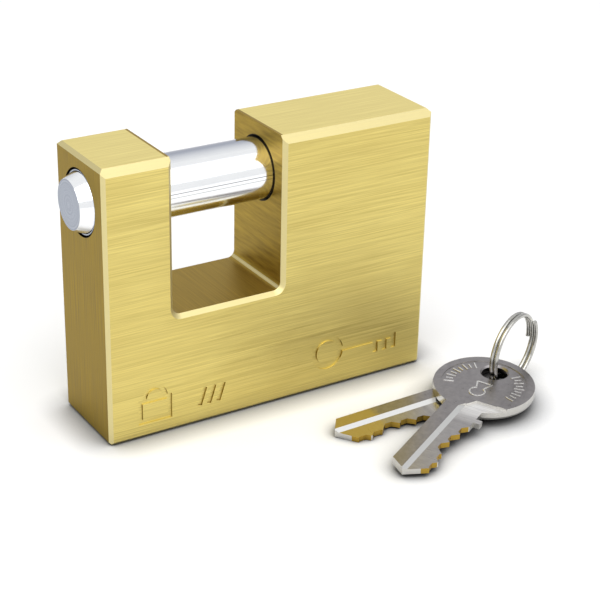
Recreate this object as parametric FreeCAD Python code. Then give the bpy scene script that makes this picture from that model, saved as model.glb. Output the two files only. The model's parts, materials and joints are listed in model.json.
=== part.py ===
"""Straight-bolt shutter padlock with its two keys and their split ring, in millimetres.

The origin is the centre of the body's underside. +X points to the wide block that
holds the lock cylinder, +Y to the back and +Z up. The bolt is pushed home and
unlocked: the cam on the plug stands clear of the bolt's blocking wall.
"""
import FreeCAD
import Part
import math
import os

from FreeCAD import Vector

# ---- body ----
BODY_WIDTH = 70.0
BODY_HEIGHT = 54.4
BODY_DEPTH = 19.3
LEG_WIDTH = 13.7
GAP_WIDTH = 23.0
GAP_FLOOR = 23.7
GAP_CORNER = 1.5
TOP_CHAMFER = 1.4
EDGE_CHAMFER = 0.7
GAP_CHAMFER = 0.8
MARK_DEPTH = 0.3

# ---- bolt ----
BOLT_DIAMETER = 12.0
BOLT_HEIGHT = 45.4
BOLT_CLEARANCE = 0.08
HEAD_PROUD = 2.1
HEAD_SINK = 0.2
HEAD_TAPER = 1.1
HEAD_SHOULDER = 0.2
HEAD_RECESS_GAP = 0.4
HEAD_RECESS_DEPTH = 1.5
TAIL_IN_BLOCK = 19.0
SPRING_ROOM = 10.0
BOLT_SPRING_RADIUS = 3.6
BOLT_SPRING_WIRE = 0.9
BOLT_SPRING_TURNS = 5
MOUTH_CHAMFER = 0.3
OPEN_SETBACK = 1.0
TAIL_CHAMFER = 0.5
STOP_PIN_DIAMETER = 3.0
STOP_SLOT_DEPTH = 2.0
STOP_SIDE_CLEARANCE = 0.15

# ---- plug, cam and pins ----
PLUG_FROM_GAP = 12.0
PLUG_RADIUS = 5.5
PLUG_CLEARANCE = 0.05
PLUG_HEIGHT = 28.0
CAM_DISC = 2.2
CAM_RADIUS = 4.0
CAM_CLEARANCE = 0.15
CAM_LIFT = 3.0
TONGUE_WIDTH = 3.0
TONGUE_DEPTH = 3.0
FIT_GAP = 0.05
GROOVE_DEPTH = 1.2
GROOVE_WIDTH = 2.0
GROOVE_HEIGHT = 23.4
RETAINER_RADIUS = 0.9
PIN_RADIUS = 1.3
PIN_CLEARANCE = 0.05
PIN_TIP = 0.4
DRIVER_LENGTH = 4.5
PIN_SPRING_WIRE = 0.35
PIN_SPRING_TURNS = 8
CHAMBER_PLUG_LENGTH = 2.5

# ---- keys ----
KEY_THICKNESS = 1.6
KEY_BOW_RADIUS = 9.9
KEY_LENGTH_TO_TIP = 33.7
KEY_BLADE_WIDTH = 7.5
KEY_HOLE_RADIUS = 2.5
KEY_HOLE_OFFSET = 5.0
KEY_STEP_DEPTH = 0.5
KEY_STEP_FROM_SPINE = 2.8
KEY_STEP_SLANT = 0.9
KEY_STEP_LENGTH = 27.4
KEY_STOP_TO_TIP = 20.6
KEY_STOP_SIZE = 1.3
KEY_HOLE_FLARE = 0.35
TIP_SPINE_BEVEL = 2.1
TIP_CUT_BEVEL = 3.3
TIP_OFFSET = 0.75
KEYWAY_CLEARANCE = 0.15
KEYWAY_WALL = 0.9
TIP_TO_FIRST_CUT = 3.9
CUT_PITCH = 3.3
CUT_FLAT = 1.4
CUT_DEPTHS = [0.8, 0.9, 2.2, 1.7, 1.1]
BOW_RIM = 1.5
BOW_FIELD_DEPTH = 0.15

# ---- how the keys and their ring lie ----
KEY_BACK_PLACE = (36.8, -28.5)
KEY_BACK_YAW = 178.8
KEY_FRONT_PLACE = (35.7, -30.1)
KEY_FRONT_YAW = 208.4
KEY_TILT = 4.0
KEY_TILT_TOWARDS = 236.0
KEY_GAP = 0.06
RING_WIRE = 0.85
RING_RADIUS = 7.3
RING_TURNS = 2.1
RING_PITCH = 0.9
RING_PIECES = 6
RING_PLACE = (45.2, -26.8)
RING_YAW = 21.0
RING_LEAN = 3.0

X, Y, Z = Vector(1, 0, 0), Vector(0, 1, 0), Vector(0, 0, 1)

# Places that follow from the sizes above.
half_width = BODY_WIDTH / 2
half_depth = BODY_DEPTH / 2
gap_left = -half_width + LEG_WIDTH
gap_right = gap_left + GAP_WIDTH
bolt_radius = BOLT_DIAMETER / 2
bore_radius = bolt_radius + BOLT_CLEARANCE
head_base_radius = bolt_radius - HEAD_SHOULDER
tail_x = gap_right + TAIL_IN_BLOCK
bore_end = tail_x + SPRING_ROOM
travel = tail_x - gap_left + OPEN_SETBACK
stop_x = -half_width + LEG_WIDTH / 2
slot_half_width = STOP_PIN_DIAMETER / 2 + STOP_SIDE_CLEARANCE
plug_x = gap_right + PLUG_FROM_GAP
plug_bore = PLUG_RADIUS + PLUG_CLEARANCE
cam_disc_top = PLUG_HEIGHT + FIT_GAP + CAM_DISC
cam_top = BOLT_HEIGHT - bolt_radius + CAM_LIFT
chamber_radius = PIN_RADIUS + PIN_CLEARANCE
blade_half = KEY_BLADE_WIDTH / 2
blade_x = plug_x - PLUG_RADIUS + KEYWAY_WALL + blade_half
cut_edge_x = blade_x + blade_half
driver_start = plug_x + plug_bore
chamber_mouth = half_width - CHAMBER_PLUG_LENGTH


def box(x0, y0, z0, x1, y1, z1):
    return Part.makeBox(x1 - x0, y1 - y0, z1 - z0, Vector(x0, y0, z0))


def rod(radius, length, start, direction):
    return Part.makeCylinder(radius, length, Vector(*start), direction)


def prism(points, direction):
    corners = [Vector(*p) for p in points]
    return Part.Face(Part.makePolygon(corners + corners[:1])).extrude(direction)


def pin_height(index):
    """Height of one pin stack when the key's stop meets the body's underside."""
    return KEY_STOP_TO_TIP - TIP_TO_FIRST_CUT - CUT_PITCH * index


def spring(coil_radius, wire, turns, start, length):
    """Compression spring along +X between start and start + length."""
    pitch = (length - wire) / turns
    helix = Part.makeHelix(pitch, length - wire, coil_radius)
    section = Part.Wire(Part.makeCircle(wire / 2, Vector(coil_radius, 0, 0), Y))
    coil = Part.Wire(helix.Edges).makePipeShell([section], True, True)
    coil.rotate(Vector(), Y, 90)
    coil.translate(Vector(*start) + X * (wire / 2))
    return coil


# ---- lock body ----

def chamfered_rectangle(u0, v0, u1, v1, low, high):
    """Corners of a rectangle whose lower corners lose low and upper corners lose high."""
    return [
        (u0 + low, v0), (u1 - low, v0), (u1, v0 + low), (u1, v1 - high),
        (u1 - high, v1), (u0 + high, v1), (u0, v1 - high), (u0, v0 + low),
    ]


def block_with_chamfers():
    """Plain block, chamfered all round and more deeply along its top front and back edges."""
    e = EDGE_CHAMFER
    side = chamfered_rectangle(-half_depth, 0, half_depth, BODY_HEIGHT, e, TOP_CHAMFER)
    plan = chamfered_rectangle(-half_width, -half_depth, half_width, half_depth, e, e)
    face = chamfered_rectangle(-half_width, 0, half_width, BODY_HEIGHT, e, e)
    block = prism([(-half_width, u, v) for u, v in side], X * BODY_WIDTH)
    block = block.common(prism([(u, v, 0) for u, v in plan], Z * BODY_HEIGHT))
    return block.common(prism([(u, -half_depth, v) for u, v in face], Y * BODY_DEPTH))


def gap_with_chamfer():
    """The gap, flared to a chamfer where it breaks the front and back faces."""
    cutter = Part.Face(gap_outline(0.0, -half_depth - 1)).extrude(Y * (BODY_DEPTH + 2))
    for side in (-1, 1):
        outer = gap_outline(GAP_CHAMFER, side * half_depth)
        inner = gap_outline(0.0, side * (half_depth - GAP_CHAMFER))
        cutter = cutter.fuse(Part.makeLoft([outer, inner], True, True))
    return cutter


def gap_outline(grow, y):
    """Closed outline of the gap at depth y: two walls, two round corners and a floor."""
    r = GAP_CORNER + grow
    x0, x1, z0, z1 = gap_left - grow, gap_right + grow, GAP_FLOOR - grow, BODY_HEIGHT + 5
    k = r * (1 - math.sqrt(0.5))
    edges = [
        Part.makeLine(Vector(x0, y, z1), Vector(x0, y, z0 + r)),
        Part.Arc(Vector(x0, y, z0 + r), Vector(x0 + k, y, z0 + k), Vector(x0 + r, y, z0)).toShape(),
        Part.makeLine(Vector(x0 + r, y, z0), Vector(x1 - r, y, z0)),
        Part.Arc(Vector(x1 - r, y, z0), Vector(x1 - k, y, z0 + k), Vector(x1, y, z0 + r)).toShape(),
        Part.makeLine(Vector(x1, y, z0 + r), Vector(x1, y, z1)),
        Part.makeLine(Vector(x1, y, z1), Vector(x0, y, z1)),
    ]
    return Part.Wire(edges)


def front_bar(x, z, width, height, angle=0.0):
    """Shallow straight groove in the front face, centred on x and z."""
    y = -half_depth - 1
    bar = box(-width / 2, 0, -height / 2, width / 2, 1 + MARK_DEPTH, height / 2)
    bar.rotate(Vector(), Y, angle)
    bar.translate(Vector(x, y, z))
    return bar


def front_ring(x, z, outer, inner):
    """Shallow round groove in the front face."""
    start = (x, -half_depth - 1, z)
    return rod(outer, 1 + MARK_DEPTH, start, Y).cut(rod(inner, 1 + MARK_DEPTH, start, Y))


def front_marks():
    """Plain pictograms: a key on the block, a closed padlock and three bars near the leg."""
    key = [front_ring(12.4, 7.8, 3.6, 2.5), front_bar(22.2, 7.8, 13.0, 1.1)]
    key += [front_bar(x, 6.3, 1.1, 2.4) for x in (23.8, 26.0, 28.15)]
    lock = [front_bar(-25.6, z, 7.0, 0.9) for z in (3.4, 7.6)]
    lock += [front_bar(x, 5.5, 0.9, 5.1) for x in (-28.65, -22.55)]
    arch = front_ring(-25.6, 8.0, 2.6, 1.7)
    lock += [arch.common(box(-35, -half_depth - 2, 8.0, -10, 0, 20))]
    bars = [front_bar(x, 5.6, 0.9, 3.8, 18) for x in (-15.6, -13.6, -11.6)]
    return key + lock + bars


def lock_body():
    body = block_with_chamfers().cut(gap_with_chamfer())
    bolt_bore = rod(bore_radius, bore_end + half_width, (-half_width, 0, BOLT_HEIGHT), X)
    recess = rod(bolt_radius + HEAD_RECESS_GAP, HEAD_RECESS_DEPTH, (-half_width, 0, BOLT_HEIGHT), X)
    body = body.cut(bolt_bore).cut(recess)
    for mouth, way in ((gap_right, 1), (gap_left, -1)):
        cone = Part.makeCone(bore_radius + MOUTH_CHAMFER, bore_radius, MOUTH_CHAMFER,
                             Vector(mouth, 0, BOLT_HEIGHT), X * way)
        body = body.cut(cone)
    body = body.cut(stop_pin_shape())
    body = body.cut(rod(plug_bore, cam_disc_top + FIT_GAP, (plug_x, 0, 0), Z))
    body = body.cut(rod(CAM_RADIUS + CAM_CLEARANCE, BOLT_HEIGHT - cam_disc_top, (plug_x, 0, cam_disc_top), Z))
    body = body.cut(retainer_shape())
    for index in range(len(CUT_DEPTHS)):
        chamber = rod(chamber_radius, half_width - plug_x, (plug_x, 0, pin_height(index)), X)
        body = body.cut(chamber)
    for mark in front_marks():
        body = body.cut(mark)
    return body


# ---- bolt ----

def stop_pin_shape():
    """Pin pressed in from the back of the leg; its end runs in the bolt's side slot."""
    end = bolt_radius - STOP_SLOT_DEPTH + STOP_SIDE_CLEARANCE
    return rod(STOP_PIN_DIAMETER / 2, half_depth - end, (stop_x, end, BOLT_HEIGHT), Y)


def sliding_bolt():
    """Round bolt with a coned head, a side slot for its stop pin and a pocket for the cam."""
    head_start = -half_width + HEAD_SINK
    bolt = rod(bolt_radius, tail_x - head_start, (head_start, 0, BOLT_HEIGHT), X)
    cone_length = HEAD_PROUD + HEAD_SINK
    bolt = bolt.fuse(Part.makeCone(head_base_radius, head_base_radius - HEAD_TAPER, cone_length,
                                   Vector(head_start, 0, BOLT_HEIGHT), X * -1))
    edge = min(bolt.Edges, key=lambda e: abs(e.BoundBox.XMin - tail_x) + abs(e.BoundBox.XMax - tail_x))
    bolt = bolt.makeChamfer(TAIL_CHAMFER, [edge])
    slot_floor = bolt_radius - STOP_SLOT_DEPTH
    slot = box(stop_x, slot_floor, BOLT_HEIGHT - slot_half_width,
               stop_x + travel, bolt_radius + 1, BOLT_HEIGHT + slot_half_width)
    for end in (stop_x, stop_x + travel):
        slot = slot.fuse(rod(slot_half_width, STOP_SLOT_DEPTH + 1, (end, slot_floor, BOLT_HEIGHT), Y))
    pocket_radius = CAM_RADIUS + CAM_CLEARANCE
    pocket_top = cam_top + FIT_GAP * 4
    under = BOLT_HEIGHT - bolt_radius - 1
    pocket = rod(pocket_radius, pocket_top - under, (plug_x, 0, under), Z)
    relief = box(plug_x, -bolt_radius - 1, under, tail_x + 1, 0, pocket_top)
    return bolt.cut(slot).cut(pocket).cut(relief)


def bolt_spring():
    """Spring in the blind end of the bore; it pushes the unlocked bolt out."""
    return spring(BOLT_SPRING_RADIUS, BOLT_SPRING_WIRE, BOLT_SPRING_TURNS,
                  (tail_x + FIT_GAP, 0, BOLT_HEIGHT), SPRING_ROOM - 2 * FIT_GAP)


# ---- plug, cam and pin stacks ----

def blade_section(x_axis, clearance):
    """Key blade cross-section in a lock: flat spine half, stepped half towards +X."""
    c = clearance
    step = x_axis - blade_half + KEY_STEP_FROM_SPINE
    half = KEY_THICKNESS / 2
    return [
        (x_axis - blade_half - c, -half - c), (x_axis + blade_half + c, -half - c),
        (x_axis + blade_half + c, half - KEY_STEP_DEPTH + c),
        (step + KEY_STEP_SLANT + c, half - KEY_STEP_DEPTH + c),
        (step + c, half + c), (x_axis - blade_half - c, half + c),
    ]


def plug():
    body = rod(PLUG_RADIUS, PLUG_HEIGHT, (plug_x, 0, 0), Z)
    keyway_depth = KEY_STOP_TO_TIP + 4 * KEYWAY_CLEARANCE
    section = blade_section(blade_x, KEYWAY_CLEARANCE)
    body = body.cut(prism([(u, v, 0) for u, v in section], Z * keyway_depth))
    groove_start = GROOVE_HEIGHT - GROOVE_WIDTH / 2
    groove = rod(PLUG_RADIUS + 1, GROOVE_WIDTH, (plug_x, 0, groove_start), Z)
    body = body.cut(groove.cut(rod(PLUG_RADIUS - GROOVE_DEPTH, GROOVE_WIDTH, (plug_x, 0, groove_start), Z)))
    half_slot = TONGUE_WIDTH / 2 + FIT_GAP
    body = body.cut(box(plug_x - 10, -half_slot, PLUG_HEIGHT - TONGUE_DEPTH, plug_x + 10, half_slot, PLUG_HEIGHT))
    for index in range(len(CUT_DEPTHS)):
        body = body.cut(rod(chamber_radius, PLUG_RADIUS * 2, (blade_x, 0, pin_height(index)), X))
    return body


def cam():
    """Half-moon cam: a tongue in the plug, a disc, a neck and the D that blocks the bolt."""
    disc_radius = PLUG_RADIUS - FIT_GAP
    bottom = PLUG_HEIGHT + FIT_GAP
    neck_top = BOLT_HEIGHT - bolt_radius - 0.5
    piece = rod(disc_radius, CAM_DISC - FIT_GAP, (plug_x, 0, bottom), Z)
    piece = piece.fuse(rod(CAM_RADIUS, cam_top - bottom, (plug_x, 0, bottom), Z))
    half = TONGUE_WIDTH / 2
    tongue = box(plug_x - 10, -half, PLUG_HEIGHT - TONGUE_DEPTH + FIT_GAP, plug_x + 10, half, bottom)
    piece = piece.fuse(tongue.common(rod(disc_radius, PLUG_HEIGHT, (plug_x, 0, 0), Z).fuse(
        rod(disc_radius, 1, (plug_x, 0, PLUG_HEIGHT), Z))))
    away = box(plug_x - 10, -4 * FIT_GAP, neck_top, plug_x + 10, 10, cam_top + 1)
    return piece.cut(away).removeSplitter()


def retainer_shape():
    """Cross pin from the back face; it runs in the plug's groove and keeps the plug in."""
    x = plug_x - PLUG_RADIUS + GROOVE_DEPTH - RETAINER_RADIUS - FIT_GAP
    front = -PLUG_RADIUS / 2
    return rod(RETAINER_RADIUS, half_depth - front, (x, front, GROOVE_HEIGHT), Y)


def key_pin(index):
    """Pin in the plug, from the key's cut to the shear line, coned where the key lifts it."""
    z = pin_height(index)
    start = cut_edge_x - CUT_DEPTHS[index] + 0.02
    end = math.sqrt(PLUG_RADIUS ** 2 - PIN_RADIUS ** 2) + plug_x
    pin = rod(PIN_RADIUS, end - start - PIN_TIP, (start + PIN_TIP, 0, z), X)
    return pin.fuse(Part.makeCone(PIN_RADIUS - PIN_TIP, PIN_RADIUS, PIN_TIP, Vector(start, 0, z), X))


def driver_pin(index):
    return rod(PIN_RADIUS, DRIVER_LENGTH, (driver_start, 0, pin_height(index)), X)


def pin_spring(index):
    start = driver_start + DRIVER_LENGTH + FIT_GAP
    length = chamber_mouth - FIT_GAP - start
    coil_radius = PIN_RADIUS - PIN_SPRING_WIRE / 2 - FIT_GAP
    return spring(coil_radius, PIN_SPRING_WIRE, PIN_SPRING_TURNS, (start, 0, pin_height(index)), length)


def chamber_plug(index):
    return rod(chamber_radius, CHAMBER_PLUG_LENGTH, (chamber_mouth, 0, pin_height(index)), X)


# ---- keys and ring ----

def flat_key():
    """Key lying flat: bow centre on the origin, blade along +X, cuts on the +Y edge."""
    tip = KEY_LENGTH_TO_TIP
    edge = blade_half
    stop = tip - KEY_STOP_TO_TIP
    outline = [
        (0, -edge), (tip - TIP_SPINE_BEVEL, -edge), (tip, -TIP_OFFSET), (tip - TIP_CUT_BEVEL, edge),
        (stop, edge), (stop, edge + KEY_STOP_SIZE), (stop - KEY_STOP_SIZE, edge + KEY_STOP_SIZE),
        (stop - KEY_STOP_SIZE, edge), (0, edge),
    ]
    key = prism([(u, v, 0) for u, v in outline], Z * KEY_THICKNESS)
    key = key.fuse(rod(KEY_BOW_RADIUS, KEY_THICKNESS, (0, 0, 0), Z))
    field_floor = KEY_THICKNESS - BOW_FIELD_DEPTH
    key = key.cut(rod(KEY_BOW_RADIUS - BOW_RIM, 1, (0, 0, field_floor), Z))
    for index, depth in enumerate(CUT_DEPTHS):
        key = key.cut(cut_notch(tip - TIP_TO_FIRST_CUT - CUT_PITCH * index, depth))
    key = key.cut(step_cutter())
    key = key.cut(rod(KEY_HOLE_RADIUS, KEY_THICKNESS, (-KEY_HOLE_OFFSET, 0, 0), Z))
    flare = Part.makeCone(KEY_HOLE_RADIUS, KEY_HOLE_RADIUS + KEY_HOLE_FLARE, KEY_HOLE_FLARE,
                          Vector(-KEY_HOLE_OFFSET, 0, field_floor - KEY_HOLE_FLARE), Z)
    return key.cut(flare).removeSplitter()


def cut_notch(x, depth):
    """One bitting cut: a flat with 45 degree flanks, open at the blade's edge."""
    half = CUT_FLAT / 2
    floor = blade_half - depth
    reach = depth + 1.0
    points = [(x - half, floor), (x + half, floor), (x + half + reach, floor + reach),
              (x - half - reach, floor + reach)]
    return prism([(u, v, -1) for u, v in points], Z * (KEY_THICKNESS + 2))


def step_cutter():
    """Milled step along the cut half of the blade: a slanted wall, run out at a slant in the bow."""
    top = KEY_THICKNESS
    wall = KEY_STEP_FROM_SPINE - blade_half
    low = top - KEY_STEP_DEPTH
    start = KEY_LENGTH_TO_TIP - KEY_STEP_LENGTH
    wide = KEY_BOW_RADIUS * 2
    points = [(wall, top), (wall + KEY_STEP_SLANT, low), (wide, low), (wide, top + 1), (wall, top + 1)]
    cutter = prism([(start, u, v) for u, v in points], X * KEY_LENGTH_TO_TIP)
    runout = [(start, wide), (start, 1.4), (start + 3.5, wall), (start + 3.5, -wide),
              (start + wide * 2, -wide), (start + wide * 2, wide)]
    return cutter.common(prism([(u, v, 0) for u, v in runout], Z * (top + 1)))


def tilt_together(shape):
    """Lower the side of a shape that faces KEY_TILT_TOWARDS."""
    turn = math.radians(KEY_TILT_TOWARDS - 90)
    shape.rotate(Vector(), Vector(math.cos(turn), math.sin(turn), 0), -KEY_TILT)
    return shape


def placed_key(place, yaw, lift):
    key = flat_key()
    key.rotate(Vector(), Z, yaw)
    key.translate(Vector(place[0], place[1], lift))
    return tilt_together(key)


def placed_keys():
    """Both keys, one on the other, tilted together until the lower one's tip is on the floor."""
    back = placed_key(KEY_BACK_PLACE, KEY_BACK_YAW, 0)
    front = placed_key(KEY_FRONT_PLACE, KEY_FRONT_YAW, KEY_THICKNESS + KEY_GAP)
    drop = Vector(0, 0, -min(vertex.Z for vertex in back.Vertexes))
    back.translate(drop)
    front.translate(drop)
    return back, front


def key_ring():
    """Split ring of round wire, a little over two turns, standing on its edge."""
    height = RING_PITCH * RING_TURNS
    turns = RING_TURNS / RING_PIECES
    edges = []
    for index in range(RING_PIECES):
        helix = Part.makeHelix(RING_PITCH, RING_PITCH * turns, RING_RADIUS)
        helix.rotate(Vector(), Z, 360 * turns * index)
        helix.translate(Z * (RING_PITCH * turns * index))
        edges += helix.Edges
    section = Part.Wire(Part.makeCircle(RING_WIRE / 2, Vector(RING_RADIUS, 0, 0), Y))
    ring = Part.Wire(edges).makePipeShell([section], True, True)
    ring.translate(Z * (-height / 2))
    ring.rotate(Vector(), X, 90)
    ring.rotate(Vector(), X, RING_LEAN)
    ring.rotate(Vector(), Z, RING_YAW)
    ring.translate(Vector(RING_PLACE[0], RING_PLACE[1], RING_RADIUS + RING_WIRE / 2 + 0.1))
    return ring


def all_parts():
    key_back, key_front = placed_keys()
    parts = {
        "lock_body": lock_body(),
        "sliding_bolt": sliding_bolt(),
        "bolt_stop_pin": stop_pin_shape(),
        "bolt_spring": bolt_spring(),
        "plug": plug(),
        "cam": cam(),
        "plug_retaining_pin": retainer_shape(),
        "key_back": key_back,
        "key_front": key_front,
        "key_ring": key_ring(),
    }
    for index in range(len(CUT_DEPTHS)):
        number = index + 1
        parts[f"key_pin_{number}"] = key_pin(index)
        parts[f"driver_pin_{number}"] = driver_pin(index)
        parts[f"pin_spring_{number}"] = pin_spring(index)
        parts[f"chamber_plug_{number}"] = chamber_plug(index)
    return parts


os.makedirs("parts", exist_ok=True)
for name, shape in all_parts().items():
    solid = shape.Solids[0]
    print(f"{name:20s} solids {len(shape.Solids)} volume {solid.Volume:10.2f} valid {solid.isValid()}")
    solid.exportStep(f"parts/{name}.step")
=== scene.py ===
# %% [markdown]
# A straight-bolt shutter padlock in solid brass, with its two keys and their split ring.
# Every part that moves or fits comes from the imported model. This lesson gives those parts
# their finishes, adds the small marks that are only a matter of looks, and sets up a plain
# light studio. We start by loading the model.

# %% Load the model
import json
import math

import bmesh
import bpy
from mathutils import Matrix, Vector


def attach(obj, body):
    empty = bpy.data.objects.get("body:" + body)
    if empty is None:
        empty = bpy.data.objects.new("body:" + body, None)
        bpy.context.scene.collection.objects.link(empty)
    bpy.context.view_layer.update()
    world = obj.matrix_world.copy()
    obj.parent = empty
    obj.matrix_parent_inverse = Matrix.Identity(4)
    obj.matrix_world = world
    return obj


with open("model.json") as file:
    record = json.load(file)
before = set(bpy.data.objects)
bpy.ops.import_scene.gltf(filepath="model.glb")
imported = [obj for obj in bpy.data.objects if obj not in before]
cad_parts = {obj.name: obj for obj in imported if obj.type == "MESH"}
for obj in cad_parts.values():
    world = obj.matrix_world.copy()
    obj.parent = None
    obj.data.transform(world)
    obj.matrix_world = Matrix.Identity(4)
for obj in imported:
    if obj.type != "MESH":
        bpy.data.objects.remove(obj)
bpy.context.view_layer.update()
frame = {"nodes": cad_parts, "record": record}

MM = 0.001
parts = frame["nodes"]

# %% [markdown]
# The camera stands to the left of the lock's front and looks down on it with a long lens,
# so upright edges stay almost parallel. A camera's direction can be given as a matrix, but
# three angles are easier to read and to change: its turn about the upright axis, how far it
# looks down, and how far it leans sideways.

# %% The camera
CAMERA_PLACE = Vector((-146.84, -251.58, 156.18)) * MM
CAMERA_TURN = math.radians(-32.236)
CAMERA_DOWN = math.radians(25.331)
CAMERA_LEAN = math.radians(1.285)
LENS = 99.07
SENSOR_WIDTH = 36.0
NEAREST = 10 * MM


def camera_axes(turn, down, lean):
    """Right, up and forward directions of a camera that looks along +Y when turn is 0."""
    ahead = (-math.sin(turn) * math.cos(down), math.cos(turn) * math.cos(down), -math.sin(down))
    forward = Vector(ahead)
    level = forward.cross(Vector((0, 0, 1))).normalized()
    upright = level.cross(forward)
    right = level * math.cos(lean) + upright * math.sin(lean)
    return right, right.cross(forward), forward


right, up, forward = camera_axes(CAMERA_TURN, CAMERA_DOWN, CAMERA_LEAN)
looking = Matrix((right, up, -forward)).transposed().to_4x4()
camera = bpy.data.objects.new("camera", bpy.data.cameras.new("camera"))
camera.data.lens = LENS
camera.data.sensor_width = SENSOR_WIDTH
camera.data.clip_start = NEAREST
camera.matrix_world = Matrix.Translation(CAMERA_PLACE) @ looking
bpy.context.scene.collection.objects.link(camera)
bpy.context.scene.camera = camera
bpy.context.scene.view_settings.view_transform = "Standard"
print("camera", [round(v, 3) for v in camera.location])

# %% [markdown]
# Shader trees are built with one small helper: it adds a node, sets its options, and either
# links a socket or gives it a value. Each finish below is then a few readable lines.

# %% Helpers for shader nodes
def node(tree, kind, inputs=None, **options):
    """Add a shader node. inputs maps a socket's name or number to a value or a socket."""
    made = tree.nodes.new(kind)
    for name, value in options.items():
        setattr(made, name, value)
    for socket, value in (inputs or {}).items():
        if isinstance(value, bpy.types.NodeSocket):
            tree.links.new(value, made.inputs[socket])
        else:
            made.inputs[socket].default_value = value
    return made


def vector_math(tree, operation, a, b=(0.0, 0.0, 0.0)):
    return node(tree, "ShaderNodeVectorMath", {0: a, 1: b}, operation=operation).outputs


def math_node(tree, operation, a, b=0.0):
    return node(tree, "ShaderNodeMath", {0: a, 1: b}, operation=operation).outputs[0]


def both(tree, a, b):
    """1 where two masks are both 1; for softer masks, their product."""
    return math_node(tree, "MULTIPLY", a, b)


def unsigned(tree, value):
    return math_node(tree, "ABSOLUTE", value)


def where(tree, value, low, high):
    """1 where a value lies between low and high, else 0."""
    above = math_node(tree, "GREATER_THAN", value, low)
    below = math_node(tree, "LESS_THAN", value, high)
    return both(tree, above, below)


def remap(tree, value, low, high, to_low, to_high):
    """Stretch value from low..high to to_low..to_high, without passing either end."""
    ends = {"From Min": low, "From Max": high, "To Min": to_low, "To Max": to_high}
    return node(tree, "ShaderNodeMapRange", {"Value": value, **ends}).outputs["Result"]


def blend_value(tree, factor, a, b):
    return node(tree, "ShaderNodeMix", {0: factor, 2: a, 3: b}, data_type="FLOAT").outputs[0]


def blend_colour(tree, factor, a, b):
    return node(tree, "ShaderNodeMix", {0: factor, 6: a, 7: b}, data_type="RGBA").outputs[2]


def colour(red, green, blue):
    return (red, green, blue, 1.0)


print("shader helpers ready")

# %% [markdown]
# Every finish here is a metal, so one function makes the common part: a Principled shader
# with full metallic, a colour, a roughness and a bump. What differs is the pattern that
# drives them. Most patterns are noise stretched into streaks, because tools leave streaks.

# %% The common metal shader
def new_metal(name):
    """An empty metal material: its tree and its Principled shader."""
    material = bpy.data.materials.new(name)
    material.use_nodes = True
    tree = material.node_tree
    shader = tree.nodes["Principled BSDF"]
    shader.inputs["Metallic"].default_value = 1.0
    return material, tree, shader


def finish_metal(tree, shader, base, roughness, height, depth):
    """Connect colour, roughness and a bump whose full height is depth metres."""
    tree.links.new(base, shader.inputs["Base Color"])
    tree.links.new(roughness, shader.inputs["Roughness"])
    bump = node(tree, "ShaderNodeBump", {"Height": height, "Distance": depth, "Strength": 1.0})
    tree.links.new(bump.outputs["Normal"], shader.inputs["Normal"])


def streaks(tree, place, stretch, turn=(0.0, 0.0, 0.0), detail=4.0):
    """Noise drawn out into streaks. stretch gives how many ripples a metre each axis has."""
    spread = {"Vector": place, "Rotation": turn, "Scale": stretch}
    mapping = node(tree, "ShaderNodeMapping", spread).outputs[0]
    inputs = {"Vector": mapping, "Scale": 1.0, "Detail": detail, "Roughness": 0.6}
    return node(tree, "ShaderNodeTexNoise", inputs).outputs[0]


def cloud(tree, place, per_metre, detail):
    """Soft noise without a direction, for stains and haze."""
    inputs = {"Vector": place, "Scale": per_metre, "Detail": detail}
    return node(tree, "ShaderNodeTexNoise", inputs).outputs[0]


def distance_from(tree, place, centre, axis_index):
    """Distance from a line through centre along one of the main axes."""
    shifted = vector_math(tree, "SUBTRACT", place, centre)[0]
    across = [1.0, 1.0, 1.0]
    across[axis_index] = 0.0
    flat = vector_math(tree, "MULTIPLY", shifted, across)[0]
    return vector_math(tree, "LENGTH", flat)["Value"]


def surface_readings(tree):
    """The point itself, its three coordinates and the three parts of its normal."""
    coords = node(tree, "ShaderNodeTexCoord").outputs
    spot = node(tree, "ShaderNodeSeparateXYZ", {0: coords["Object"]}).outputs
    facing = node(tree, "ShaderNodeSeparateXYZ", {0: coords["Normal"]}).outputs
    return coords["Object"], spot, facing


print("metal helpers ready")

# %% [markdown]
# The body is a block of extruded brass that is linished on a belt, face by face. So the fine
# scratches run along X on the front, back and top, upright on the two ends, front to back on
# the gap's floor, and aslant on the gap's walls, where a cutter made them. Seams and a UV map
# could give each face its own direction. Reading the face's normal and place is simpler, and
# it works on a mesh with no UV map. The bolt's axis and the middle of the gap come from the
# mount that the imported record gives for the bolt.

# %% Where the body's faces are
mounts = {mount["name"]: mount for mount in frame["record"]["mounts"]}
BOLT_AXIS = Vector(mounts["shackle_bolt"]["pos_m"])
HALF_GAP = 11.5 * MM
WALL_MARGIN = 0.5 * MM
FACES_THAT_WAY = 0.75
BEVEL_BELOW = 0.85


def body_faces(tree, spot, facing):
    """Masks for the body's ends, its top, and the gap's walls and floor."""
    reach = HALF_GAP + WALL_MARGIN
    in_gap = where(tree, spot[0], BOLT_AXIS.x - reach, BOLT_AXIS.x + reach)
    sideways = math_node(tree, "GREATER_THAN", unsigned(tree, facing[0]), FACES_THAT_WAY)
    upward = math_node(tree, "GREATER_THAN", facing[2], FACES_THAT_WAY)
    wall = both(tree, sideways, in_gap)
    floor = both(tree, upward, in_gap)
    end = math_node(tree, "SUBTRACT", sideways, wall)
    top = math_node(tree, "SUBTRACT", upward, floor)
    return end, top, wall, floor


def bevel_mask(tree, facing):
    """1 on the bevels, whose normal lies along none of the main axes."""
    widest = math_node(tree, "MAXIMUM", unsigned(tree, facing[0]), unsigned(tree, facing[1]))
    widest = math_node(tree, "MAXIMUM", widest, unsigned(tree, facing[2]))
    return math_node(tree, "LESS_THAN", widest, BEVEL_BELOW)


print("bolt axis at", [round(v / MM, 2) for v in BOLT_AXIS])
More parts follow.
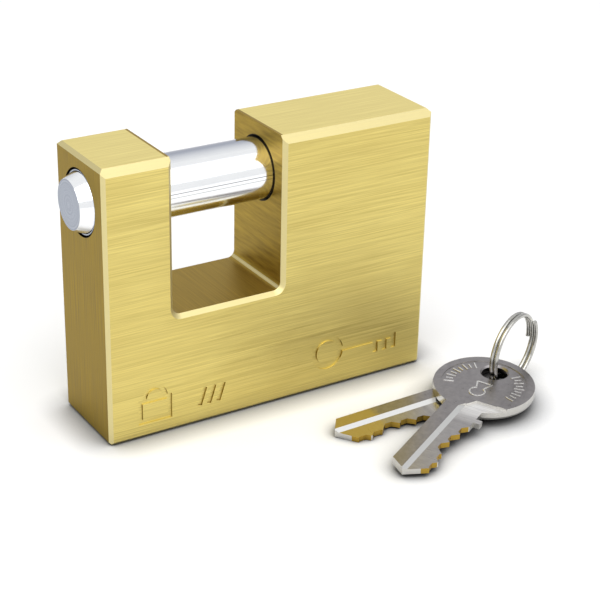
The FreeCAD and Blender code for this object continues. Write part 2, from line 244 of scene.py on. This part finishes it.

# %% [markdown]
# Each kind of face has a dark and a light tone, and the scratches choose between them. The
# pairs differ by face as painted light and shade: the top is painted lighter, and the ends and
# the gap's walls and floor are painted darker. Broad streaks and a faint cloudy stain keep a
# large face from looking even, the bevels are painted pale as a painted highlight, and the
# bolt's bore is painted dark inside as painted shade.

# %% Brass of the body
FINE, LONG = 4800.0, 60.0
COARSE, COARSE_LONG = 700.0, 25.0
CUTTER_STREAKS = (FINE, 140.0, 1500.0)
CUTTER_SLANT = (math.radians(38), 0.0, 0.0)
SIDE_TONES = colour(0.52, 0.42, 0.13), colour(0.79, 0.665, 0.235)
TOP_PAINTED_LIGHT_TONES = colour(0.80, 0.665, 0.24), colour(0.95, 0.83, 0.36)
END_PAINTED_SHADE_TONES = colour(0.19, 0.125, 0.008), colour(0.38, 0.255, 0.02)
WALL_PAINTED_SHADE_TONES = colour(0.24, 0.155, 0.015), colour(0.46, 0.32, 0.05)
GAP_FLOOR_PAINTED_SHADE_TONES = colour(0.28, 0.185, 0.025), colour(0.44, 0.30, 0.06)
BROAD_STREAK = colour(0.72, 0.61, 0.24)
STAIN = colour(0.55, 0.42, 0.125)
BEVEL_PAINTED_HIGHLIGHT = colour(0.66, 0.585, 0.32)
BORE_PAINTED_SHADE = colour(0.03, 0.022, 0.01)
BORE_SHADE_RADIUS = 6.42 * MM
BRASS_BUMP = 0.014 * MM


def body_grain(tree, place, end, wall, floor):
    """The scratches of every face, each in its own direction."""
    grain = streaks(tree, place, (LONG, FINE, FINE))
    grain = blend_value(tree, end, grain, streaks(tree, place, (FINE, FINE, LONG)))
    grain = blend_value(tree, floor, grain, streaks(tree, place, (FINE, LONG, FINE)))
    return blend_value(tree, wall, grain, streaks(tree, place, CUTTER_STREAKS, CUTTER_SLANT))


def body_brass():
    material, tree, shader = new_metal("satin_brass")
    place, spot, facing = surface_readings(tree)
    end, top, wall, floor = body_faces(tree, spot, facing)
    grain = body_grain(tree, place, end, wall, floor)
    tone = remap(tree, grain, 0.3, 0.7, 0.0, 1.0)
    broad = streaks(tree, place, (COARSE_LONG, COARSE, COARSE), detail=3.0)
    stain = cloud(tree, place, 45.0, 3.0)
    base = blend_colour(tree, tone, *SIDE_TONES)
    base = blend_colour(tree, remap(tree, broad, 0.35, 0.65, 0.0, 0.12), base, BROAD_STREAK)
    base = blend_colour(tree, remap(tree, stain, 0.35, 0.7, 0.0, 0.3), base, STAIN)
    # Painted light and shade: the top is painted lighter, the ends and the gap's walls and floor
    # darker.
    faces = ((math_node(tree, "MULTIPLY", top, 0.85), TOP_PAINTED_LIGHT_TONES), (end, END_PAINTED_SHADE_TONES),
             (wall, WALL_PAINTED_SHADE_TONES), (floor, GAP_FLOOR_PAINTED_SHADE_TONES))
    for mask, tones in faces:
        base = blend_colour(tree, mask, base, blend_colour(tree, tone, *tones))
    # Painted highlight on the bevels.
    bevelled = math_node(tree, "MULTIPLY", bevel_mask(tree, facing), 0.75)
    base = blend_colour(tree, bevelled, base, BEVEL_PAINTED_HIGHLIGHT)
    # Painted shade inside the bolt's bore.
    from_axis = distance_from(tree, place, BOLT_AXIS, 0)
    bore = math_node(tree, "LESS_THAN", from_axis, BORE_SHADE_RADIUS)
    base = blend_colour(tree, bore, base, BORE_PAINTED_SHADE)
    roughness = remap(tree, grain, 0.3, 0.7, 0.42, 0.54)
    finish_metal(tree, shader, base, roughness, grain, BRASS_BUMP)
    return material


brass = body_brass()
print("made", brass.name)

# %% [markdown]
# The bolt is hardened steel under bright chrome. Chrome is nearly a mirror, so what shows is
# the studio around it, and only very fine turning marks and a little haze break it. Two faint
# dark lines along the barrel are painted reflections. The barrel's crest is toned darker and
# bluer, for the dim part of a light tent that a polished round bar shows along its top: a plain
# sky has no such part. The flat of its head is painted darker, as a painted dim reflection, and
# on it the lathe has left faint circles, drawn from the distance to the bolt's axis.

# %% Chrome of the bolt
CHROME_TONES = colour(0.90, 0.915, 0.93), colour(0.80, 0.815, 0.84)
HEAD_DIM_REFLECTION_TONES = colour(0.27, 0.295, 0.35), colour(0.37, 0.40, 0.46)
PAINTED_REFLECTION_LINE = colour(0.10, 0.10, 0.11)
CREST_TONE = colour(0.30, 0.33, 0.42)
REFLECTION_LINES_FACE_UP = ((0.075, 0.10), (-0.035, -0.02))
CIRCLES_PER_METRE = 3200.0
TURNED_PER_METRE = 2600.0
HEAD_ROUGHNESS = 0.24
CHROME_BUMP = 0.0012 * MM


def fine_rings(tree, distance, per_metre, **extra):
    """Noise of one distance only, so it is the same all round."""
    inputs = {"W": distance, "Scale": per_metre, **extra}
    return node(tree, "ShaderNodeTexNoise", inputs, noise_dimensions="1D").outputs[0]


def bolt_chrome():
    material, tree, shader = new_metal("bright_chrome")
    place, spot, facing = surface_readings(tree)
    head = math_node(tree, "GREATER_THAN", unsigned(tree, facing[0]), 0.5)
    barrel = math_node(tree, "LESS_THAN", unsigned(tree, facing[0]), 0.2)
    from_axis = distance_from(tree, place, BOLT_AXIS, 0)
    circles = fine_rings(tree, from_axis, CIRCLES_PER_METRE, Detail=3.0, Roughness=0.6)
    turned = fine_rings(tree, spot[0], TURNED_PER_METRE, Detail=4.0)
    grain = blend_value(tree, head, turned, circles)
    haze = cloud(tree, place, 160.0, 4.0)
    base = blend_colour(tree, remap(tree, haze, 0.4, 0.7, 0.0, 0.4), *CHROME_TONES)
    # Painted reflection: two thin dark lines on the barrel, picked by which way the surface faces.
    lines = [where(tree, facing[2], low, high) for low, high in REFLECTION_LINES_FACE_UP]
    lines = both(tree, math_node(tree, "MAXIMUM", *lines), barrel)
    base = blend_colour(tree, math_node(tree, "MULTIPLY", lines, 0.8), base, PAINTED_REFLECTION_LINE)
    crest = remap(tree, unsigned(tree, facing[1]), 0.05, 0.5, 0.8, 0.0)
    crest = both(tree, crest, math_node(tree, "GREATER_THAN", facing[2], 0.0))
    base = blend_colour(tree, both(tree, crest, barrel), base, CREST_TONE)
    # Painted dim reflection: the head's flat is darker than the barrel.
    head_reflection_tone = blend_colour(tree, remap(tree, circles, 0.35, 0.65, 0.0, 1.0), *HEAD_DIM_REFLECTION_TONES)
    base = blend_colour(tree, head, base, head_reflection_tone)
    barrel_roughness = remap(tree, haze, 0.35, 0.7, 0.10, 0.17)
    roughness = blend_value(tree, head, barrel_roughness, HEAD_ROUGHNESS)
    finish_metal(tree, shader, base, roughness, grain, CHROME_BUMP)
    return material


chrome = bolt_chrome()
print("made", chrome.name)

# %% [markdown]
# The two keys lie one over the other with a slight common tilt. Their finish needs to know
# where a point is along and across the key, so we first write down how each key lies: its
# bow's centre, its heading and the tilt. A key's own axes run along its blade, across it to
# its cuts, and up.

# %% How the keys lie
KEY_TILT = math.radians(4.0)
KEY_TILT_TOWARDS = math.radians(236.0)
KEY_THICKNESS = 1.6 * MM
KEY_GAP = 0.06 * MM


def own_box(name, matrix):
    """Lowest and highest corners of a part along the axes of matrix."""
    inverse = matrix.inverted()
    points = [inverse @ vertex.co for vertex in parts[name].data.vertices]
    return [[pick(point[i] for point in points) for i in range(3)] for pick in (min, max)]


def key_frame(name, x, y, heading, layer):
    """Matrix from a key's own axes to the world."""
    lift = layer * (KEY_THICKNESS + KEY_GAP)
    lean_axis = Vector((-math.sin(KEY_TILT_TOWARDS), math.cos(KEY_TILT_TOWARDS), 0.0))
    lean = Matrix.Rotation(KEY_TILT, 4, lean_axis)
    turn = Matrix.Rotation(math.radians(heading), 4, "Z")
    matrix = lean @ Matrix.Translation((x * MM, y * MM, lift)) @ turn
    lowest = own_box(name, matrix)[0][2]
    return Matrix.Translation(matrix.to_3x3() @ Vector((0, 0, lowest))) @ matrix


key_frames = {
    "key_back": key_frame("key_back", 36.8, -28.5, 178.8, 0),
    "key_front": key_frame("key_front", 35.7, -30.1, 208.4, 1),
}
for name, matrix in key_frames.items():
    corners = own_box(name, matrix)
    print(name, "own box", [[round(v / MM, 2) for v in corner] for corner in corners])

# %% [markdown]
# A key is stamped from nickel-plated brass. Its flat faces are painted a dark grey satin, a
# painted dim reflection with a satin grain in it. The step that is milled along the blade has
# scratches across it and a painted highlight that is brightest near the bow, and the slant beside
# it is painted bright as a highlight too. The cuts are made after the plating, so they show bare
# golden brass, and on the lower key the plating has also worn off towards the tip. The faces
# beside the hole are painted dark as painted shade. One shader does all of this from the key's
# own axes, which is less work than one material for each face and keeps the key in one piece.

# %% Nickel of the keys
BLADE_HALF = 3.75 * MM
CUTS_ALONG = (13.4 * MM, 31.6 * MM)
CUTS_ACROSS = (0.8 * MM, BLADE_HALF - 0.15 * MM)
STEP_HEIGHTS = (0.9 * MM, 1.2 * MM)
STEP_HIGHLIGHT_FADES = (8.5 * MM, 14.0 * MM)
SLANT_FACES_UP = (0.6, 0.97)
BLADE_FROM = 1.0 * MM
HOLE_AT = -5.0 * MM
HOLE_SHADE_RADIUS = 2.78 * MM
WEAR_RAGGEDNESS = 2.0 * MM
WEAR_LENGTH = 1.6 * MM
SATIN_DIM_REFLECTION_TONES = colour(0.235, 0.222, 0.226), colour(0.30, 0.285, 0.288)
MILLED_NICKEL_HIGHLIGHT = colour(0.90, 0.89, 0.88)
SLANT_PAINTED_HIGHLIGHT = colour(0.60, 0.60, 0.59)
CUT_GOLD = colour(0.40, 0.26, 0.045)
WORN_BRASS = colour(0.47, 0.38, 0.15)
EDGE_NICKEL = colour(0.66, 0.65, 0.61)
HOLE_PAINTED_SHADE = colour(0.025, 0.023, 0.022)
NICKEL_BUMP = 0.004 * MM


def key_readings(tree, matrix):
    """Place and normal in the key's own axes, and a mask of what is close to its hole, for painted
    shade.
    """
    coords = node(tree, "ShaderNodeTexCoord").outputs
    shifted = vector_math(tree, "SUBTRACT", coords["Object"], matrix.translation)[0]
    axes = [matrix.to_3x3().col[i] for i in range(3)]
    local = [vector_math(tree, "DOT_PRODUCT", shifted, axis)["Value"] for axis in axes]
    facing = [vector_math(tree, "DOT_PRODUCT", coords["Normal"], axis)["Value"] for axis in axes]
    hole = matrix @ Vector((HOLE_AT, 0.0, KEY_THICKNESS / 2))
    from_hole = vector_math(tree, "DISTANCE", coords["Object"], hole)["Value"]
    return local, facing, math_node(tree, "LESS_THAN", from_hole, HOLE_SHADE_RADIUS)


def slant_mask(tree, local, facing):
    """1 on the slant between the blade's face and its milled step, where a highlight is painted."""
    tilted = where(tree, facing[2], *SLANT_FACES_UP)
    to_cuts = math_node(tree, "GREATER_THAN", facing[1], 0.1)
    on_blade = math_node(tree, "GREATER_THAN", local[0], BLADE_FROM)
    return both(tree, both(tree, tilted, to_cuts), on_blade)


def key_metal(name, matrix, bare_from):
    """Plated key. Its plating has worn off from bare_from, along the blade, to the tip."""
    material, tree, shader = new_metal(name)
    local, facing, by_hole = key_readings(tree, matrix)
    own = node(tree, "ShaderNodeCombineXYZ", dict(enumerate(local))).outputs[0]
    upward = math_node(tree, "GREATER_THAN", facing[2], 0.97)
    edge_on = math_node(tree, "LESS_THAN", unsigned(tree, facing[2]), 0.5)
    by_cuts = both(tree, where(tree, local[0], *CUTS_ALONG), where(tree, local[1], *CUTS_ACROSS))
    cut = both(tree, edge_on, by_cuts)
    milled = both(tree, upward, where(tree, local[2], *STEP_HEIGHTS))
    satin = streaks(tree, own, (900.0, 900.0, 900.0), detail=5.0)
    across = streaks(tree, own, (3600.0, 120.0, 200.0))
    grain = blend_value(tree, milled, satin, across)
    # Painted dim reflection: the flat faces get a dark grey, with the satin grain in it.
    base = blend_colour(tree, remap(tree, satin, 0.3, 0.7, 0.0, 1.0), *SATIN_DIM_REFLECTION_TONES)
    # Painted highlight on the milled step, brightest near the bow, with the cutter's scratches in it.
    step_highlight = remap(tree, local[0], *STEP_HIGHLIGHT_FADES, 1.0, 0.15)
    step_highlight = both(tree, step_highlight, remap(tree, across, 0.35, 0.6, 0.6, 1.0))
    base = blend_colour(tree, both(tree, milled, step_highlight), base, MILLED_NICKEL_HIGHLIGHT)
    # Painted highlight on the slant beside the step.
    base = blend_colour(tree, slant_mask(tree, local, facing), base, SLANT_PAINTED_HIGHLIGHT)
    base = blend_colour(tree, cut, base, CUT_GOLD)
    ragged = math_node(tree, "MULTIPLY", satin, WEAR_RAGGEDNESS)
    along = math_node(tree, "ADD", local[0], ragged)
    wear = remap(tree, along, bare_from, bare_from + WEAR_LENGTH, 0.0, 0.8)
    base = blend_colour(tree, both(tree, upward, wear), base, WORN_BRASS)
    side = math_node(tree, "MULTIPLY", math_node(tree, "SUBTRACT", edge_on, cut), 0.75)
    base = blend_colour(tree, side, base, EDGE_NICKEL)
    # Painted shade on the faces beside the hole.
    base = blend_colour(tree, both(tree, by_hole, edge_on), base, HOLE_PAINTED_SHADE)
    roughness = remap(tree, grain, 0.3, 0.7, 0.27, 0.36)
    finish_metal(tree, shader, base, roughness, grain, NICKEL_BUMP)
    return material


WORN_FROM = 24.0 * MM
BEYOND_THE_TIP = 80.0 * MM
nickel_front = key_metal("nickel_front", key_frames["key_front"], BEYOND_THE_TIP)
nickel_back = key_metal("nickel_back", key_frames["key_back"], WORN_FROM)
print("made", nickel_front.name, nickel_back.name)

# %% [markdown]
# The small parts are turned or drawn. One function gives them all a tone, a roughness and a
# fine grain: yellow brass for the plug and the pins, grey steel for the pressed pins, the cam
# and the wire of springs and ring.

# %% Turned brass, ground steel and drawn wire
TURNED_BUMP = 0.003 * MM


def turned_metal(name, dark, light, smooth, rough, per_metre):
    material, tree, shader = new_metal(name)
    place = node(tree, "ShaderNodeTexCoord").outputs["Object"]
    grain = streaks(tree, place, (per_metre, per_metre, per_metre), detail=5.0)
    tone = remap(tree, grain, 0.3, 0.7, 0.0, 1.0)
    base = blend_colour(tree, tone, colour(*dark), colour(*light))
    roughness = remap(tree, grain, 0.3, 0.7, smooth, rough)
    finish_metal(tree, shader, base, roughness, grain, TURNED_BUMP)
    return material


plug_brass = turned_metal("turned_brass", (0.55, 0.42, 0.15), (0.74, 0.60, 0.24), 0.26, 0.4, 1400.0)
pin_brass = turned_metal("pin_brass", (0.60, 0.48, 0.20), (0.76, 0.64, 0.30), 0.22, 0.34, 1800.0)
ground_steel = turned_metal("ground_steel", (0.36, 0.36, 0.38), (0.50, 0.50, 0.52), 0.24, 0.38, 2200.0)
spring_wire = turned_metal("spring_wire", (0.42, 0.42, 0.43), (0.58, 0.58, 0.58), 0.2, 0.3, 2600.0)
ring_wire = turned_metal("ring_wire", (0.38, 0.375, 0.35), (0.52, 0.515, 0.49), 0.12, 0.2, 1500.0)
print("made five small finishes")

# %% [markdown]
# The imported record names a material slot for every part, so a table from slot to finish is
# enough to dress all of them. The two keys share a slot, but each needs its own axes in its
# shader, so the lower one gets its own material after the loop.

# %% Give every part its finish
finishes = {
    "body_brass": brass,
    "plug_brass": plug_brass,
    "pin_brass": pin_brass,
    "bolt_chrome": chrome,
    "hard_steel": ground_steel,
    "spring_steel": spring_wire,
    "key_nickel": nickel_front,
    "ring_steel": ring_wire,
}
slots = {part["node"]: part["material_slot"] for part in frame["record"]["subparts"]}
for name, part in parts.items():
    part.data.materials.clear()
    part.data.materials.append(finishes[slots[name]])
parts["key_back"].data.materials[0] = nickel_back
print("finished", len(parts), "parts")

# %% [markdown]
# Each bow carries a shallow relief on the real key. Ours is a plain one of our own: a keyhole
# shape in the middle and short rays along two arcs. A bump in the shader could draw it, but it
# would vanish from the side and from the exported mesh, so it is modelled. Every stroke is a
# low bar with softened top edges, so it catches the light like a stamped line.

# %% Strokes of the relief
FIELD_TOP = 1.45 * MM
RELIEF = 0.14 * MM
SUNK = 0.01 * MM
SOFTENING = 0.04 * MM


def bar(mesh, length, width, matrix):
    """A low bar on the key's field, softened along its top edges."""
    middle = FIELD_TOP + RELIEF / 2
    made = bmesh.ops.create_cube(mesh, size=1.0)["verts"]
    bmesh.ops.scale(mesh, vec=(length, width, RELIEF), verts=made)
    bmesh.ops.translate(mesh, vec=(0, 0, middle - SUNK), verts=made)
    own = [edge for edge in mesh.edges if edge.verts[0] in made]
    top = [edge for edge in own if all(v.co.z > middle for v in edge.verts)]
    cut = bmesh.ops.bevel(mesh, geom=top, offset=SOFTENING, offset_type="OFFSET", segments=2,
                          profile=0.5, affect="EDGES", material=-1)
    verts = list({v for v in made if v.is_valid} | set(cut["verts"]))
    bmesh.ops.transform(mesh, matrix=matrix, verts=verts)


def polyline(mesh, points, width):
    """Bars along a line of points on the key's field."""
    for a, b in zip(points, points[1:]):
        run = Vector(b) - Vector(a)
        middle = (Vector(a) + Vector(b)) / 2
        turn = Matrix.Rotation(math.atan2(run.y, run.x), 4, "Z")
        place = Matrix.Translation((middle.x, middle.y, 0)) @ turn
        bar(mesh, run.length + width * 0.6, width, place)


def arc(centre, radius, start, end, steps):
    """Points along an arc, with angles in degrees."""
    angles = [math.radians(start + (end - start) * i / steps) for i in range(steps + 1)]
    return [(centre[0] + radius * math.cos(a), centre[1] + radius * math.sin(a)) for a in angles]


print("strokes stand", round((RELIEF - SUNK) / MM, 2), "mm above the field")

# %% [markdown]
# The keyhole is one closed line: an arc for its round end, then two points for its foot. The
# rays are bars on a circle about the bow's centre, long and short by turns. Both are laid out
# in the key's own axes and then moved onto the key with its matrix.

# %% Relief on the bows
KEYHOLE_CENTRE = 3.2 * MM
KEYHOLE_RADIUS = 1.5 * MM
KEYHOLE_FOOT = -0.3 * MM
FOOT_HALF = 1.5 * MM
KEYHOLE_LINE = 0.36 * MM
RAY_CIRCLE = 6.9 * MM
RAY_WIDTH = 0.32 * MM
RAY_LENGTHS = (2.0 * MM, 1.4 * MM)
RAY_SPACING = 9
RAY_ARCS_AT = (-105, 105)
RAYS_EACH_SIDE = 4
body_key = {"upper_key": "key_front", "lower_key": "key_back"}
relief_metal = turned_metal("relief_nickel", (0.52, 0.51, 0.50), (0.72, 0.71, 0.69), 0.2, 0.3, 900.0)


def keyhole_line(mesh):
    points = arc((KEYHOLE_CENTRE, 0.0), KEYHOLE_RADIUS, -150, 150, 12)
    points += [(KEYHOLE_FOOT, FOOT_HALF), (KEYHOLE_FOOT, -FOOT_HALF), points[0]]
    polyline(mesh, points, KEYHOLE_LINE)


def rays(mesh):
    for middle in RAY_ARCS_AT:
        for step in range(-RAYS_EACH_SIDE, RAYS_EACH_SIDE + 1):
            turn = Matrix.Rotation(math.radians(middle + step * RAY_SPACING), 4, "Z")
            place = turn @ Matrix.Translation((RAY_CIRCLE, 0, 0))
            bar(mesh, RAY_LENGTHS[step % 2], RAY_WIDTH, place)


def bow_relief(name, body):
    mesh = bmesh.new()
    keyhole_line(mesh)
    rays(mesh)
    bmesh.ops.transform(mesh, matrix=key_frames[body_key[body]], verts=mesh.verts)
    data = bpy.data.meshes.new(name)
    mesh.to_mesh(data)
    mesh.free()
    data.materials.append(relief_metal)
    piece = bpy.data.objects.new(name, data)
    bpy.context.scene.collection.objects.link(piece)
    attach(piece, body)
    print(name, len(data.polygons), "faces")


bow_relief("bow_relief_front", "upper_key")
bow_relief("bow_relief_back", "lower_key")

# %% [markdown]
# The studio is a wide white floor. Its paint is darkened a little where something stands
# close to it, which gives the soft contact shade of a light tent. Lamps alone could give it
# too, but not without a harder shadow further out.

# %% Floor
FLOOR_REACH = 3.0
CONTACT_REACH = 7.0 * MM
CONTACT_POWER = 1.5


def studio_floor():
    mesh = bmesh.new()
    bmesh.ops.create_grid(mesh, x_segments=2, y_segments=2, size=FLOOR_REACH)
    data = bpy.data.meshes.new("studio_floor")
    mesh.to_mesh(data)
    mesh.free()
    floor = bpy.data.objects.new("studio_floor", data)
    bpy.context.scene.collection.objects.link(floor)
    paint = bpy.data.materials.new("white_floor")
    paint.use_nodes = True
    tree = paint.node_tree
    shader = tree.nodes["Principled BSDF"]
    reach = {"Distance": CONTACT_REACH}
    contact = node(tree, "ShaderNodeAmbientOcclusion", reach, samples=12).outputs["AO"]
    shade = math_node(tree, "POWER", contact, CONTACT_POWER)
    white = blend_colour(tree, shade, colour(0.0, 0.0, 0.0), colour(0.85, 0.85, 0.85))
    tree.links.new(white, shader.inputs["Base Color"])
    shader.inputs["Roughness"].default_value = 0.8
    data.materials.append(paint)
    print("floor", round(max(v.co.x for v in data.vertices), 2), "m out from the origin")


studio_floor()

# %% [markdown]
# Over the floor is a soft white sky. Behind the lock it turns grey towards the horizon, so
# that polished metal has something to reflect: a sky that is white all round would leave the
# chrome without a shape. Two large lamps add direction, one to the left and one to the right.

# %% Sky and lamps
SKY_STRENGTH = 0.95
SKY_WHITE = colour(1.0, 1.0, 1.0)
SKY_GREY = colour(0.74, 0.75, 0.78)
BEHIND = (0.53, 0.85, 0.0)
AIM_AT = Vector((0.0, -0.01, 0.02))
LAMP_SIZE = 1.0


def soft_sky():
    world = bpy.data.worlds.new("soft_sky")
    bpy.context.scene.world = world
    world.use_nodes = True
    tree = world.node_tree
    direction = node(tree, "ShaderNodeTexCoord").outputs["Generated"]
    height = node(tree, "ShaderNodeSeparateXYZ", {0: direction}).outputs[2]
    behind = vector_math(tree, "DOT_PRODUCT", direction, BEHIND)["Value"]
    low = remap(tree, height, 0.2, 0.75, 1.0, 0.0)
    grey = both(tree, remap(tree, behind, -0.1, 0.4, 0.0, 1.0), low)
    background = tree.nodes["Background"]
    tree.links.new(blend_colour(tree, grey, SKY_WHITE, SKY_GREY), background.inputs[0])
    background.inputs[1].default_value = SKY_STRENGTH


def soft_lamp(name, place, watts):
    lamp = bpy.data.lights.new(name, "AREA")
    lamp.shape = "DISK"
    lamp.size = LAMP_SIZE
    lamp.energy = watts
    holder = bpy.data.objects.new(name, lamp)
    holder.location = place
    holder.rotation_euler = (AIM_AT - Vector(place)).to_track_quat("-Z", "Y").to_euler()
    bpy.context.scene.collection.objects.link(holder)
    print(name, watts, "W")


soft_sky()
soft_lamp("key_lamp", (-0.35, -0.45, 0.75), 4.4)
soft_lamp("fill_lamp", (0.25, -0.6, 0.75), 2.4)
